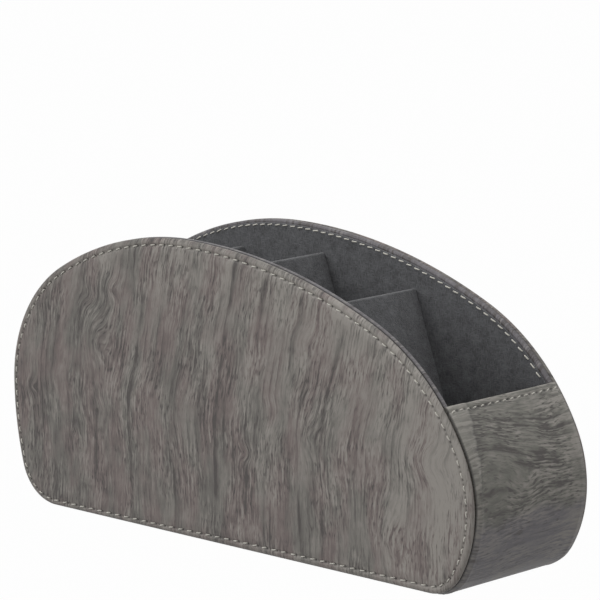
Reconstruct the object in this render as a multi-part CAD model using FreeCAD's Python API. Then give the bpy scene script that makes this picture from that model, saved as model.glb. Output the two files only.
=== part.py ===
import FreeCAD, Part
import math
import os

from FreeCAD import Vector

os.makedirs("parts", exist_ok=True)

# Remote control holder: a long caddy with five leaning compartments between two dome-shaped sides.
# X runs along it with the low end at +X, the front side faces -Y, and it stands on z = 0.
# The origin is under the middle of the whole, on the surface that it stands on.

# Overall size, in millimetres
overall_length = 322.0
overall_height = 154.5
overall_depth = 88.0

# Side outline: arcs that run on from one another without a corner, closed by a flat foot.
# A direction is the outward normal of the outline in degrees: 0 at the low end, 90 at the crest
# and 180 at the tall end. Each arc runs between two such directions.
low_foot_direction = -90.0
low_end_direction = 0.0
crest_direction = 90.0
tall_end_direction = 180.0
tall_foot_direction = 270.0
crest_from_tall_end = 129.0
low_foot_knee_direction = -31.0
low_foot_upper_radius = 60.5
low_foot_corner_radius = 21.5
low_slope_lower_direction = 27.0
low_slope_upper_direction = 66.0
low_slope_start_radius = 65.0
tall_foot_knee_direction = 196.0
tall_foot_upper_radius = 167.0
tall_foot_corner_radius = 25.5
tall_slope_knee_direction = 120.5

# Outer side panels, wrapped boards sewn round their border
panel_thickness = 3.0
panel_rim_radius = 2.0
panel_seam_chamfer = 0.5
stitch_inset = 3.7
stitch_channel_width = 1.6
stitch_channel_depth = 0.4

# Body between the panels: end walls and base, one section that stands proud all round the outline
wall_proud = 1.1
wall_thickness = 3.5
wall_edge_roll_width = 3.0
wall_edge_roll_drop = 1.2
wall_top_edge_chamfer = 0.6
low_wall_height = 94.0
tall_wall_height = 109.0

# Inner side boards, whose wrapped rims show along the opening
side_board_thickness = 3.3
side_board_rim_chamfer = 0.8

# Felt linings
lining_thickness = 0.9
side_lining_setback = 1.6
end_lining_setback = 5.0
glue_gap = 0.2

# Underside pad, on which the holder stands
pad_thickness = 0.6
pad_end_margin = 1.0
pad_corner_cut = 4.0

# Dividers, felt-covered boards that lean towards the tall end
divider_count = 4
divider_thickness = 3.0
divider_lean = 20.0
divider_drop = 13.0
first_bay_foot_length = 50.0
last_bay_foot_length = 36.0

# How closely an edge is picked out by its place, and the least turn in degrees that makes an arc
pick_tolerance = 1e-4
least_turn = 1e-6


# Outline

def normal(degrees):
    angle = math.radians(degrees)
    return Vector(math.cos(angle), 0, math.sin(angle))


def cross(a, b):
    return a.x * b.z - a.z * b.x


def run_of(directions, radii):
    # How far a chain of arcs travels from its first point to its last
    total = Vector(0, 0, 0)
    for start, end, radius in zip(directions, directions[1:], radii):
        total += (normal(end) - normal(start)) * radius
    return total


def closing_radii(directions, given, travel):
    # The given radii, and the last two with which the arcs cover the travel exactly
    steps = [normal(end) - normal(start) for start, end in zip(directions, directions[1:])]
    rest = travel - run_of(directions, given)
    near, last = steps[-2:]
    return given + (cross(rest, last) / cross(near, last), cross(near, rest) / cross(near, last))


def chain(tip, directions, radii):
    # Arcs as (centre, radius, start, end); each next centre lies on the radius that ends the last
    arcs = []
    centre = tip - normal(directions[0]) * radii[0]
    for index, radius in enumerate(radii):
        if index:
            centre += normal(directions[index]) * (radii[index - 1] - radius)
        arcs.append((centre, radius, directions[index], directions[index + 1]))
    return arcs


def turned(arcs):
    # The same arcs taken the other way
    return [(centre, radius, end, start) for centre, radius, start, end in reversed(arcs)]


low_foot_directions = (low_end_direction, low_foot_knee_direction, low_foot_direction)
low_foot_radii = (low_foot_upper_radius, low_foot_corner_radius)
tall_foot_directions = (tall_end_direction, tall_foot_knee_direction, tall_foot_direction)
tall_foot_radii = (tall_foot_upper_radius, tall_foot_corner_radius)
low_slope_directions = (
    low_end_direction, low_slope_lower_direction, low_slope_upper_direction, crest_direction,
)
tall_slope_directions = (tall_end_direction, tall_slope_knee_direction, crest_direction)

foot_z = pad_thickness + wall_proud
tip_x = overall_length / 2 - wall_proud
low_tip = Vector(tip_x, 0, foot_z - run_of(low_foot_directions, low_foot_radii).z)
tall_tip = Vector(-tip_x, 0, foot_z - run_of(tall_foot_directions, tall_foot_radii).z)
crest = Vector(crest_from_tall_end - overall_length / 2, 0, overall_height)

low_slope_radii = closing_radii(low_slope_directions, (low_slope_start_radius,), crest - low_tip)
tall_slope_radii = closing_radii(tall_slope_directions, (), crest - tall_tip)

outline_arcs = turned(chain(low_tip, low_foot_directions, low_foot_radii))
outline_arcs += chain(low_tip, low_slope_directions, low_slope_radii)
outline_arcs += turned(chain(tall_tip, tall_slope_directions, tall_slope_radii))
outline_arcs += chain(tall_tip, tall_foot_directions, tall_foot_radii)

foot_low_x = outline_arcs[0][0].x
foot_tall_x = outline_arcs[-1][0].x


def arc_point(arc, inset, degrees):
    centre, radius = arc[0], arc[1]
    return centre + normal(degrees) * (radius - inset)


def arcs_between(start, end):
    # The parts of the outline's arcs that lie between two directions
    kept = []
    for centre, radius, low, high in outline_arcs:
        low, high = max(low, start), min(high, end)
        if high - low > least_turn:
            kept.append((centre, radius, low, high))
    return kept


def arc_at(direction):
    return next(arc for arc in outline_arcs if arc[2] <= direction <= arc[3])


def moved_along(direction, distance):
    # The direction reached by going a distance along the outline
    return direction + math.degrees(distance / arc_at(direction)[1])


def ring_edges(inset, start, end):
    edges = []
    for arc in arcs_between(start, end):
        circle = Part.Circle(arc[0], Vector(0, -1, 0), arc[1] - inset)
        low, high = [circle.parameter(arc_point(arc, inset, at)) for at in arc[2:]]
        edges.append(Part.ArcOfCircle(circle, low, high).toShape())
    return edges


def first_point(edges):
    return edges[0].valueAt(edges[0].FirstParameter)


def last_point(edges):
    return edges[-1].valueAt(edges[-1].LastParameter)


def closed_face(edges):
    return Part.Face(Part.Wire(edges))


def outline_face(inset):
    ring = ring_edges(inset, low_foot_direction, tall_foot_direction)
    foot = Part.makeLine(last_point(ring), first_point(ring))
    return closed_face(ring + [foot])


def direction_at_height(start, end, inset, height):
    # Where the inset outline passes a height, between two directions that straddle it
    for arc in arcs_between(start, end):
        low_z = arc_point(arc, inset, arc[2]).z
        high_z = arc_point(arc, inset, arc[3]).z
        if min(low_z, high_z) <= height <= max(low_z, high_z):
            lean = math.degrees(math.asin((height - arc[0].z) / (arc[1] - inset)))
            return lean if arc[3] <= crest_direction else tall_end_direction - lean
    raise ValueError("the outline doesn't pass that height")


# Levels across the depth, measured from the middle plane

panel_face_y = overall_depth / 2
body_half_width = panel_face_y - panel_thickness
lining_seat_y = body_half_width - side_board_thickness
bay_half_width = lining_seat_y - lining_thickness
flat_half_width = body_half_width - wall_edge_roll_width

wall_inner_inset = wall_thickness - wall_proud
low_wall_top = direction_at_height(low_end_direction, crest_direction, -wall_proud, low_wall_height)
tall_wall_top = direction_at_height(crest_direction, tall_end_direction, -wall_proud, tall_wall_height)
floor_z = foot_z + wall_inner_inset + glue_gap + lining_thickness


# Boards that stand in the XZ plane

def slab(face, near_y, far_y):
    # A flat board of the face's outline between two planes
    moved = face.copy()
    moved.translate(Vector(0, near_y, 0))
    return moved.extrude(Vector(0, far_y - near_y, 0))


def rim_edges(solid, y):
    # The edges of the solid that lie in the plane at y
    found = []
    for edge in solid.Edges:
        box = edge.BoundBox
        if abs(box.YMin - y) < pick_tolerance and abs(box.YMax - y) < pick_tolerance:
            found.append(edge)
    return found


def carried_round(section_at, start, end):
    # A cross-section turned about each arc's centre in turn and joined
    pieces = []
    for arc in arcs_between(start, end):
        centre, low, high = arc[0], arc[2], arc[3]
        pieces.append(section_at(arc, low).revolve(centre, Vector(0, -1, 0), high - low))
    return pieces


def joined(pieces):
    if len(pieces) == 1:
        return pieces[0]
    return pieces[0].fuse(pieces[1:]).removeSplitter()


def across(point, y):
    return Vector(point.x, y, point.z)


def triangle(first, second, third):
    return closed_face(Part.makePolygon([first, second, third, first]).Edges)


def border_channel(side):
    # A shallow V all round the outer face, in which the border stitches lie
    # Its cutter stands as far above the face as it goes below, so it is twice as wide at its top
    floor_y = side * (panel_face_y - stitch_channel_depth)
    over_y = side * (panel_face_y + stitch_channel_depth)

    def section_at(arc, degrees):
        outer = arc_point(arc, stitch_inset - stitch_channel_width, degrees)
        bottom = arc_point(arc, stitch_inset, degrees)
        inner = arc_point(arc, stitch_inset + stitch_channel_width, degrees)
        return triangle(across(outer, over_y), across(bottom, floor_y), across(inner, over_y))

    pieces = carried_round(section_at, low_foot_direction, tall_foot_direction)
    foot = section_at(outline_arcs[-1], tall_foot_direction)
    pieces.append(foot.extrude(Vector(foot_low_x - foot_tall_x, 0, 0)))
    return joined(pieces)


def panel(side):
    # side is -1 for the front and 1 for the back
    board = slab(outline_face(0.0), side * panel_face_y, side * body_half_width)
    board = board.makeFillet(panel_rim_radius, rim_edges(board, side * panel_face_y))
    board = board.makeChamfer(panel_seam_chamfer, rim_edges(board, side * body_half_width))
    return board.cut(border_channel(side))


def side_profile(opening_inset):
    # Inside the end walls and base below, and out to the rim along the opening
    inside = wall_inner_inset + glue_gap
    low = ring_edges(inside, low_foot_direction, low_wall_top)
    rim = ring_edges(opening_inset, low_wall_top, tall_wall_top)
    tall = ring_edges(inside, tall_wall_top, tall_foot_direction)
    steps = [
        Part.makeLine(last_point(low), first_point(rim)),
        Part.makeLine(last_point(rim), first_point(tall)),
        Part.makeLine(last_point(tall), first_point(low)),
    ]
    return closed_face(low + steps[:1] + rim + steps[1:2] + tall + steps[2:])


def opening_edges(solid, y):
    # The edges in the plane at y that follow the outline along the opening
    ring = Part.Wire(ring_edges(0.0, low_wall_top, tall_wall_top))
    ring.translate(Vector(0, y, 0))
    found = []
    for edge in rim_edges(solid, y):
        middle = edge.valueAt((edge.FirstParameter + edge.LastParameter) / 2)
        if Part.Vertex(middle).distToShape(ring)[0] < pick_tolerance:
            found.append(edge)
    return found


def side_board(side):
    board = slab(side_profile(0.0), side * body_half_width, side * lining_seat_y)
    edges = opening_edges(board, side * body_half_width) + opening_edges(board, side * lining_seat_y)
    return board.makeChamfer(side_board_rim_chamfer, edges)


def side_lining(side):
    return slab(side_profile(side_lining_setback), side * lining_seat_y, side * bay_half_width)


# Body

def body_section(arc, degrees):
    # Flat outside, with both long edges rolled down towards the seams
    roll_radius = (wall_edge_roll_width ** 2 + wall_edge_roll_drop ** 2) / (2 * wall_edge_roll_drop)
    half_turn = math.asin(wall_edge_roll_width / roll_radius) / 2
    middle_reach = roll_radius * math.sin(half_turn)
    middle_drop = roll_radius * (1 - math.cos(half_turn))

    def at(y, drop):
        return across(arc_point(arc, drop - wall_proud, degrees), y)

    def roll(side):
        return Part.Arc(
            at(side * flat_half_width, 0.0),
            at(side * (flat_half_width + middle_reach), middle_drop),
            at(side * body_half_width, wall_edge_roll_drop),
        ).toShape()

    return closed_face([
        Part.makeLine(at(-flat_half_width, 0.0), at(flat_half_width, 0.0)),
        roll(1),
        Part.makeLine(at(body_half_width, wall_edge_roll_drop), at(body_half_width, wall_thickness)),
        Part.makeLine(at(body_half_width, wall_thickness), at(-body_half_width, wall_thickness)),
        Part.makeLine(at(-body_half_width, wall_thickness), at(-body_half_width, wall_edge_roll_drop)),
        roll(-1),
    ])


def top_plane_edges(solid, direction):
    # The long edges of the end face that closes a wall at its top
    centre = arc_at(direction)[0]
    along = normal(direction + 90.0)
    found = []
    for edge in solid.Edges:
        ends = [vertex.Point for vertex in edge.Vertexes]
        in_plane = all(abs((end - centre).dot(along)) < pick_tolerance for end in ends)
        if in_plane and edge.BoundBox.YLength > wall_edge_roll_width / 2:
            found.append(edge)
    return found


def end_wall(start, end, top):
    wall = joined(carried_round(body_section, start, end))
    return wall.makeChamfer(wall_top_edge_chamfer, top_plane_edges(wall, top))


def end_lining(start, end):
    outer = wall_inner_inset + glue_gap

    def section_at(arc, degrees):
        near = arc_point(arc, outer, degrees)
        far = arc_point(arc, outer + lining_thickness, degrees)
        corners = [
            across(near, -bay_half_width), across(near, bay_half_width),
            across(far, bay_half_width), across(far, -bay_half_width),
        ]
        return closed_face(Part.makePolygon(corners + corners[:1]).Edges)

    return joined(carried_round(section_at, start, end))


def base_board():
    section = body_section(outline_arcs[-1], tall_foot_direction)
    return section.extrude(Vector(foot_low_x - foot_tall_x, 0, 0))


def base_pad():
    # Under the flat of the base, between its rolled edges; the holder stands on it
    length = foot_low_x - foot_tall_x - 2 * pad_end_margin
    corner = Vector(foot_tall_x + pad_end_margin, -flat_half_width, 0)
    pad = Part.makeBox(length, 2 * flat_half_width, pad_thickness, corner)
    upright = [edge for edge in pad.Edges if edge.BoundBox.ZLength > pad_thickness / 2]
    return pad.makeChamfer(pad_corner_cut, upright)


def floor_lining():
    corner = Vector(foot_tall_x, -bay_half_width, floor_z - lining_thickness)
    return Part.makeBox(foot_low_x - foot_tall_x, 2 * bay_half_width, lining_thickness, corner)


# Dividers

def divider(foot_x):
    # A leaning board with a level foot and a rounded top, which ends a set drop below the rim
    up = normal(90.0 + divider_lean)
    out = normal(divider_lean)
    foot = Vector(foot_x, 0, floor_z)
    reach = Part.makeLine(foot, foot + up * overall_height * 2)
    drop_ring = Part.Wire(ring_edges(divider_drop, low_foot_direction, tall_foot_direction))
    top = reach.distToShape(drop_ring)[1][0][0]
    half = divider_thickness / 2
    half_foot = Vector(half / math.cos(math.radians(divider_lean)), 0, 0)
    shoulder = top - up * half
    edges = [
        Part.makeLine(foot + half_foot, shoulder + out * half),
        Part.Arc(shoulder + out * half, top, shoulder - out * half).toShape(),
        Part.makeLine(shoulder - out * half, foot - half_foot),
        Part.makeLine(foot - half_foot, foot + half_foot),
    ]
    return slab(closed_face(edges), -bay_half_width, bay_half_width)


def divider_feet():
    first = foot_tall_x + first_bay_foot_length
    last = foot_low_x - last_bay_foot_length
    step = (last - first) / (divider_count - 1)
    return [first + step * index for index in range(divider_count)]


# Pieces

low_lining_top = moved_along(low_wall_top, -end_lining_setback)
tall_lining_top = moved_along(tall_wall_top, end_lining_setback)

pieces = {
    "front_panel": panel(-1),
    "back_panel": panel(1),
    "front_side_board": side_board(-1),
    "back_side_board": side_board(1),
    "front_lining": side_lining(-1),
    "back_lining": side_lining(1),
    "low_end_wall": end_wall(low_foot_direction, low_wall_top, low_wall_top),
    "tall_end_wall": end_wall(tall_wall_top, tall_foot_direction, tall_wall_top),
    "low_end_lining": end_lining(low_foot_direction, low_lining_top),
    "tall_end_lining": end_lining(tall_lining_top, tall_foot_direction),
    "base_board": base_board(),
    "base_pad": base_pad(),
    "floor_lining": floor_lining(),
}
for number, foot_x in enumerate(divider_feet(), start=1):
    pieces["divider_" + str(number)] = divider(foot_x)

for name, shape in pieces.items():
    solid = shape.Solids[0] if len(shape.Solids) == 1 else shape
    solid.exportStep("parts/" + name + ".step")
    print(name, "solids", len(shape.Solids), "valid", shape.isValid(), "cm3", round(shape.Volume / 1000, 2))
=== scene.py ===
import math

import bmesh
import bpy
import numpy as np
from mathutils import Matrix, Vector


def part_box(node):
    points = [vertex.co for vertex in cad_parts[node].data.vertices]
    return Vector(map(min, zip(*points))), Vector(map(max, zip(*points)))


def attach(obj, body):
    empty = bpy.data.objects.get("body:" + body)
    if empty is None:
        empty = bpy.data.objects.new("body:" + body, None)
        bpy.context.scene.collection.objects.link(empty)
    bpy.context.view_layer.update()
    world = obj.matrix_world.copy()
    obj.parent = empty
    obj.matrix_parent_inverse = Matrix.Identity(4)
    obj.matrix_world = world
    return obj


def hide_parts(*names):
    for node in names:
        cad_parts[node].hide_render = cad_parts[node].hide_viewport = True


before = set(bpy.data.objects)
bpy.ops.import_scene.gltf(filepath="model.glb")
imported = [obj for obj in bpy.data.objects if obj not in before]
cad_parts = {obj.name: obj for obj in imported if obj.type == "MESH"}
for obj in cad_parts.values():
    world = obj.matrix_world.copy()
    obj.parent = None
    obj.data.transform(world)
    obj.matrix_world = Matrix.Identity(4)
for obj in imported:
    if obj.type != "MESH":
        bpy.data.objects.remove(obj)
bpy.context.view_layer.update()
mm = 0.001
print("frame loaded,", len(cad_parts), "nodes")


# The side's outline, worked out as the CAD does it: arcs that run on from one another, and a flat foot

outline = {
    "length": 322 * mm,
    "height": 154.5 * mm,
    "pad": 0.6 * mm,
    "proud": 1.1 * mm,
    "crestFromTallEnd": 129 * mm,
    "lowFootTurns": (0, -31, -90),
    "lowFootRadii": (60.5 * mm, 21.5 * mm),
    "lowSlopeTurns": (0, 27, 66, 90),
    "lowSlopeStart": 65 * mm,
    "tallFootTurns": (180, 196, 270),
    "tallFootRadii": (167 * mm, 25.5 * mm),
    "tallSlopeTurns": (180, 120.5, 90),
}


def outward(degrees):
    angle = np.radians(degrees)
    return np.stack([np.cos(angle), np.sin(angle)], -1)


def travelled(turns, radii):
    # Sum over the arcs of radius times the change of the outward direction
    steps = np.diff(outward(turns), axis=0)[: len(radii)]
    return (steps * np.array(radii)[:, None]).sum(0) if len(radii) else np.zeros(2)


def closingRadii(turns, given, travel):
    # The last two radii solve: their steps times them make up the rest of the travel
    steps = np.diff(outward(turns), axis=0)
    rest = travel - travelled(turns, given)
    return tuple(given) + tuple(np.linalg.solve(steps[-2:].T, rest))


def arcRows(tip, turns, radii, turned):
    # Each next centre lies on the radius that ends the last arc
    centre = tip - outward(turns[0]) * radii[0]
    rows = []
    for index, radius in enumerate(radii):
        if index:
            centre = centre + outward(turns[index]) * (radii[index - 1] - radius)
        rows.append((*centre, radius, turns[index], turns[index + 1]))
    if turned:
        rows = [(x, z, radius, end, start) for x, z, radius, start, end in reversed(rows)]
    return rows


half = outline["length"] / 2 - outline["proud"]
footLevel = outline["pad"] + outline["proud"]
lowRise = footLevel - travelled(outline["lowFootTurns"], outline["lowFootRadii"])[1]
tallRise = footLevel - travelled(outline["tallFootTurns"], outline["tallFootRadii"])[1]
lowTip, tallTip = np.array([half, lowRise]), np.array([-half, tallRise])
crest = np.array([outline["crestFromTallEnd"] - outline["length"] / 2, outline["height"]])
lowSlopeRadii = closingRadii(outline["lowSlopeTurns"], (outline["lowSlopeStart"],), crest - lowTip)
tallSlopeRadii = closingRadii(outline["tallSlopeTurns"], (), crest - tallTip)
arcs = np.array(
    arcRows(lowTip, outline["lowFootTurns"], outline["lowFootRadii"], True)
    + arcRows(lowTip, outline["lowSlopeTurns"], lowSlopeRadii, False)
    + arcRows(tallTip, outline["tallSlopeTurns"], tallSlopeRadii, True)
    + arcRows(tallTip, outline["tallFootTurns"], outline["tallFootRadii"], False)
)
arcLengths = arcs[:, 2] * np.radians(arcs[:, 4] - arcs[:, 3])
arcStarts = np.concatenate([[0.0], np.cumsum(arcLengths)])
curvedLength = arcStarts[-1]
footFrom, footTo = arcs[-1, 0], arcs[0, 0]
wholeLength = curvedLength + footTo - footFrom


def border(run, depth=0.0):
    # Point and outward normal at a run along the outline from its low foot, counted against the clock:
    # centre plus radius times normal on an arc, straight along the foot; depth moves it inwards
    run = np.mod(np.asarray(run, float), wholeLength)
    row = np.clip(np.searchsorted(arcStarts, run, "right") - 1, 0, len(arcs) - 1)
    angle = np.radians(arcs[row, 3]) + (run - arcStarts[row]) / arcs[row, 2]
    normal = np.stack([np.cos(angle), np.sin(angle)], -1)
    point = arcs[row, :2] + normal * arcs[row, 2, None]
    onFoot = run > curvedLength
    point[onFoot, 0] = footFrom + run[onFoot] - curvedLength
    point[onFoot, 1] = footLevel
    normal[onFoot] = (0.0, -1.0)
    return point - normal * np.broadcast_to(depth, run.shape)[..., None], normal


def runAtHeight(height, depth, lowEnd, samples=8000):
    # Where the outline at that depth passes a height, on the low or the tall slope
    runs = np.linspace(0, curvedLength, samples)
    point = border(runs, depth)[0]
    top = point[:, 1].argmax()
    side = slice(0, top) if lowEnd else slice(top, None)
    order = np.argsort(point[side, 1])
    return float(np.interp(height, point[side, 1][order], runs[side][order]))


levels = {
    "panelFace": 44 * mm,
    "bodyHalf": 41 * mm,
    "boardInner": 37.7 * mm,
    "bayHalf": 36.8 * mm,
    "wallInner": 2.4 * mm,
    "boardInset": 2.6 * mm,
    "liningInner": 3.5 * mm,
    "lowWallTop": 94 * mm,
    "tallWallTop": 109 * mm,
}
lowTopRun = runAtHeight(levels["lowWallTop"], -outline["proud"], True)
tallTopRun = runAtHeight(levels["tallWallTop"], -outline["proud"], False)
print("outline %.1f mm round, opening %.1f mm" % (wholeLength / mm, (tallTopRun - lowTopRun) / mm))


# Meshes

def smoothStep(low, high, value):
    t = np.clip((value - low) / (high - low), 0, 1)
    return t * t * (3 - 2 * t)


def wobble(value, seed, waves=5):
    # A sum of sines with random wavelengths round 1 and random phases, about -1 to 1
    rng = np.random.default_rng(seed)
    rates, phases = rng.uniform(0.55, 1.9, waves), rng.uniform(0, 6.28, waves)
    value = np.asarray(value)[..., None]
    return np.sin(value * rates * 6.28 + phases).sum(-1) / math.sqrt(waves * 2)


def unit(vectors):
    return vectors / np.linalg.norm(vectors, axis=-1, keepdims=True)


def placed(name, data):
    made = bpy.data.objects.new(name, data)
    bpy.context.scene.collection.objects.link(made)
    return made


def makeMesh(name, points, faces, cornerUv, values=None, smoothTo=50):
    # Points and faces as given; doubles are merged and a closed mesh turned by its signed volume
    mesh = bpy.data.meshes.new(name)
    mesh.from_pydata(points.reshape(-1, 3).tolist(), [], faces)
    layer = mesh.uv_layers.new(name="grain")
    layer.data.foreach_set("uv", cornerUv.astype(np.float32).ravel())
    for key, value in (values or {}).items():
        attribute = mesh.attributes.new(key, "FLOAT", "POINT")
        attribute.data.foreach_set("value", value.astype(np.float32).ravel())
    work = bmesh.new()
    work.from_mesh(mesh)
    bmesh.ops.remove_doubles(work, verts=work.verts, dist=1e-6)
    if work.calc_volume(signed=True) < 0:
        bmesh.ops.reverse_faces(work, faces=work.faces)
    work.to_mesh(mesh)
    work.free()
    mesh.polygons.foreach_set("use_smooth", np.ones(len(mesh.polygons), bool))
    mesh.set_sharp_from_angle(angle=math.radians(smoothTo))
    return placed(name, mesh)


def gridFaces(shape, loopRows=False, loopColumns=False):
    # Corner numbers of the quads of each grid in a stack (stack, rows, columns)
    index = np.arange(int(np.prod(shape))).reshape(shape)
    if loopRows:
        index = np.concatenate([index, index[:, :1]], 1)
    if loopColumns:
        index = np.concatenate([index, index[:, :, :1]], 2)
    corners = index[:, :-1, :-1], index[:, 1:, :-1], index[:, 1:, 1:], index[:, :-1, 1:]
    return np.stack(corners, -1).reshape(-1, 4)


def gridCorners(uv):
    # The same corners of a grid of UV points that has its closing row and column written out
    corners = uv[:-1, :-1], uv[1:, :-1], uv[1:, 1:], uv[:-1, 1:]
    return np.stack(corners, 2).reshape(-1, 2)


def fit(piece, material, slotName, *nodes):
    # What every piece of the holder needs: its finish, its body and the nodes it stands for; the slot's
    # name is not used
    piece.data.materials.append(material)
    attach(piece, "root")
    if nodes:
        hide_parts(*nodes)


def standing(flat, across):
    # Points of the XZ plane at a place across the depth
    return np.stack([flat[..., 0], np.broadcast_to(across, flat.shape[:-1]), flat[..., 1]], -1)


# Materials

class Wire:
    # One socket of a material; arithmetic on it adds Math nodes
    def __init__(self, tree, socket=None):
        self.tree, self.socket = tree, socket

    def node(self, kind, settings=None, sockets=None, output=0):
        made = self.tree.nodes.new(kind)
        for key, value in (settings or {}).items():
            setattr(made, key, value)
        for key, value in (sockets or {}).items():
            if isinstance(value, Wire):
                self.tree.links.new(value.socket, made.inputs[key])
            else:
                made.inputs[key].default_value = value
        return Wire(self.tree, made.outputs[output] if len(made.outputs) else None)

    def other(self, output):
        return Wire(self.tree, self.socket.node.outputs[output])

    def parts(self):
        # The X, Y and Z of a vector
        split = self.node("ShaderNodeSeparateXYZ", {}, {0: self})
        return split, split.other(1), split.other(2)

    def math(self, operation, *others):
        sockets = dict(enumerate((self, *others)))
        return self.node("ShaderNodeMath", {"operation": operation}, sockets)

    def __add__(self, value):
        return self.math("ADD", value)

    def __sub__(self, value):
        return self.math("SUBTRACT", value)

    def __rsub__(self, value):
        return self.math("MULTIPLY", -1.0) + value

    def __mul__(self, value):
        return self.math("MULTIPLY", value)

    def __truediv__(self, value):
        return self.math("DIVIDE", value)

    def __pow__(self, value):
        return self.math("POWER", value)

    __radd__, __rmul__ = __add__, __mul__

    def between(self, low, high):
        # 0 below low, 1 above high, smooth between
        sockets = {"Value": self, "From Min": low, "From Max": high}
        return self.node("ShaderNodeMapRange", {"interpolation_type": "SMOOTHSTEP"}, sockets)

    def bell(self):
        # 1 where this squared distance is 0, and falling to 0 round it
        return (self * -1.0).math("EXPONENT")

    def noise(self, x, y, z, detail, rough=0.5):
        place = self.node("ShaderNodeCombineXYZ", {}, {"X": x, "Y": y, "Z": z})
        sockets = {"Vector": place, "Scale": 1.0, "Detail": detail, "Roughness": rough}
        return self.node("ShaderNodeTexNoise", {}, sockets)

    def mixed(self, first, second):
        # From the first colour to the second by this value, which counts as 0 below 0 and 1 above 1
        sockets = {"Factor": self, 6: first, 7: second}
        return self.node("ShaderNodeMix", {"data_type": "RGBA"}, sockets, output=2)


def linear(red, green, blue):
    # A colour as it is seen, 0 to 255, to the linear colour of a socket
    share = np.array([red, green, blue]) / 255
    share = np.where(share <= 0.04045, share / 12.92, ((share + 0.055) / 1.055) ** 2.4)
    return (*share.tolist(), 1.0)


def startTree(block):
    block.use_nodes = True
    block.node_tree.nodes.clear()
    return Wire(block.node_tree)


def startMaterial(name):
    material = bpy.data.materials.new(name)
    return material, startTree(material)


def finishMaterial(base, shader):
    base.node("ShaderNodeOutputMaterial", {}, {"Surface": shader})


def finishCloth(base, colour, rough, height, emboss, strength, more=None):
    bumpSockets = {"Height": height, "Distance": emboss, "Strength": strength}
    bump = base.node("ShaderNodeBump", {}, bumpSockets)
    sockets = {"Base Color": colour, "Roughness": rough, "Normal": bump, **(more or {})}
    finishMaterial(base, base.node("ShaderNodeBsdfPrincipled", {}, sockets))


leatherLook = {
    "dark": linear(72, 67, 65),
    "light": linear(151, 146, 140),
    "pink": linear(117, 106, 103),
    "green": linear(111, 108, 103),
    "olive": linear(110, 109, 102),
    "purple": linear(106, 103, 107),
    # The paler colour of the rim band, which also serves as painted highlight
    "rim": linear(152, 149, 142),
    # The colour that painted shade mixes towards, in holes, seams, tucks and fold feet
    "shadeColour": linear(24, 22, 21),
    "contrast": 2.156,
    "rimShare": 0.30,
    "patchFrom": (0.40, 0.60),
    "leanBetween": (50 * mm, 95 * mm),
    "leanMiddle": 70 * mm,
    "linedBetween": (0.38, 0.58),
    "linedLeast": 0.42,
    "linedMore": 0.80,
    "poresBetween": (0.55, 0.68),
    "deepPoresBetween": (0.58, 0.72),
    "veinCell": 22 * mm,
    "veinBetween": (0.35, 0.60),
    "veinShare": 0.8,
    "veinShift": 0.37,
    "coolWaver": 24 * mm,
    "coolHalf": 5 * mm,
    "coolLeast": 0.95,
    "coolMore": 0.45,
    "roughness": 0.55,
    "roughSpread": 0.2,
    "emboss": 0.12 * mm,
    "embossStrength": 0.7,
}

# The print's noises: cell across and along the grain in mm, shift of the seed, detail and, for one, a
# roughness of its own
printNoise = {
    "drift": (70, 80, 3.1, 0),
    "wander": (22, 30, 7.7, 1),
    "quiver": (10, 7.5, 1.3, 1),
    "ringWaver": (21, 1e6, 0, 0),
    "ringComes": (13, 36, 5, 1),
    "fineWaver": (9, 50, 2, 0),
    "fineComes": (7, 26, 6, 1),
    "broad": (11, 60, 8, 1),
    "streak": (3.4, 30, 9, 2),
    "fibre": (1.2, 8.8, 10, 3, 0.6),
    "pore": (0.8, 4.6, 11, 1),
    "cloud": (12, 9, 12, 2),
    "lined": (19, 32, 14, 1),
    "cool": (20, 30, 30, 2),
    "patch": (15, 45, 21, 3),
    "pebble": (1, 1, 4, 3),
}
# Growth rings and the fine lines between them: width, waver, how fast each pales, its dark edge's share
# of the width, and the values of noise between which they come
printRings = {
    "ring": (6.2 * mm, 3.4, 3.0, 0.07, (0.44, 0.62)),
    "fine": (2.1 * mm, 2.5, 2.0, 0.15, (0.42, 0.64)),
}
# How much each part of the print counts in its tone and in its relief
toneShares = {
    "base": 0.12,
    "streak": 0.65,
    "fibre": 1.70,
    "fine": 0.45,
    "pores": 0.38,
    "broad": 0.55,
    "cloud": 0.35,
    "ring": 0.48,
    "rim": 0.14,
}
reliefShares = {"fibre": 0.8, "pores": 0.6, "pebble": 0.5, "ring": 0.8}

# Figures of the print, where the streaks bend (across, along, width, height, push), and its single dark
# veins (across, half width, strength), all in mm. On the side panels across and along are x and z; on
# the low wall they are the way up from its foot plus 310 and the way from its front seam plus 120
figures = (
    (107, 26, 10, 24, 6),
    (-97, 97, 9, 13, 8),
    (-113, 50, 3, 7, 3),
    (54, 66, 6, 10, 4),
    (32, 74, 10, 9, -4),
    (50, 112, 8, 8, 3),
    (133, 66, 12, 8, 6),
    (-84, 124, 7, 5, 4),
    (-100, 118, 6, 5, -4),
    (-145, 64, 4, 4, 4),
    (12, 52, 4, 4, -4),
    (-92, 58, 5, 8, -3),
)
veins = (
    (-9, 1.4, 0.65),
    (-3, 4.5, 0.22),
    (13, 1.1, 0.45),
    (48, 0.8, 0.55),
    (63, 1.2, 0.60),
    (67, 0.5, 0.35),
    (86, 0.6, 0.45),
    (90, 0.5, 0.40),
    (95, 0.6, 0.35),
    (-97, 1.1, 0.45),
    (-70, 0.8, 0.45),
    (-36, 0.6, 0.30),
    (-130, 0.8, 0.40),
    (-139, 0.7, 0.40),
    (-112, 2.6, 0.25),
)
backFigures = (
    (-107, 40, 9, 20, 8),
    (85, 92, 9, 12, -7),
    (-50, 60, 7, 10, 4),
    (20, 105, 9, 8, -4),
    (40, 40, 5, 8, 4),
    (130, 60, 6, 8, 4),
)
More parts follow.
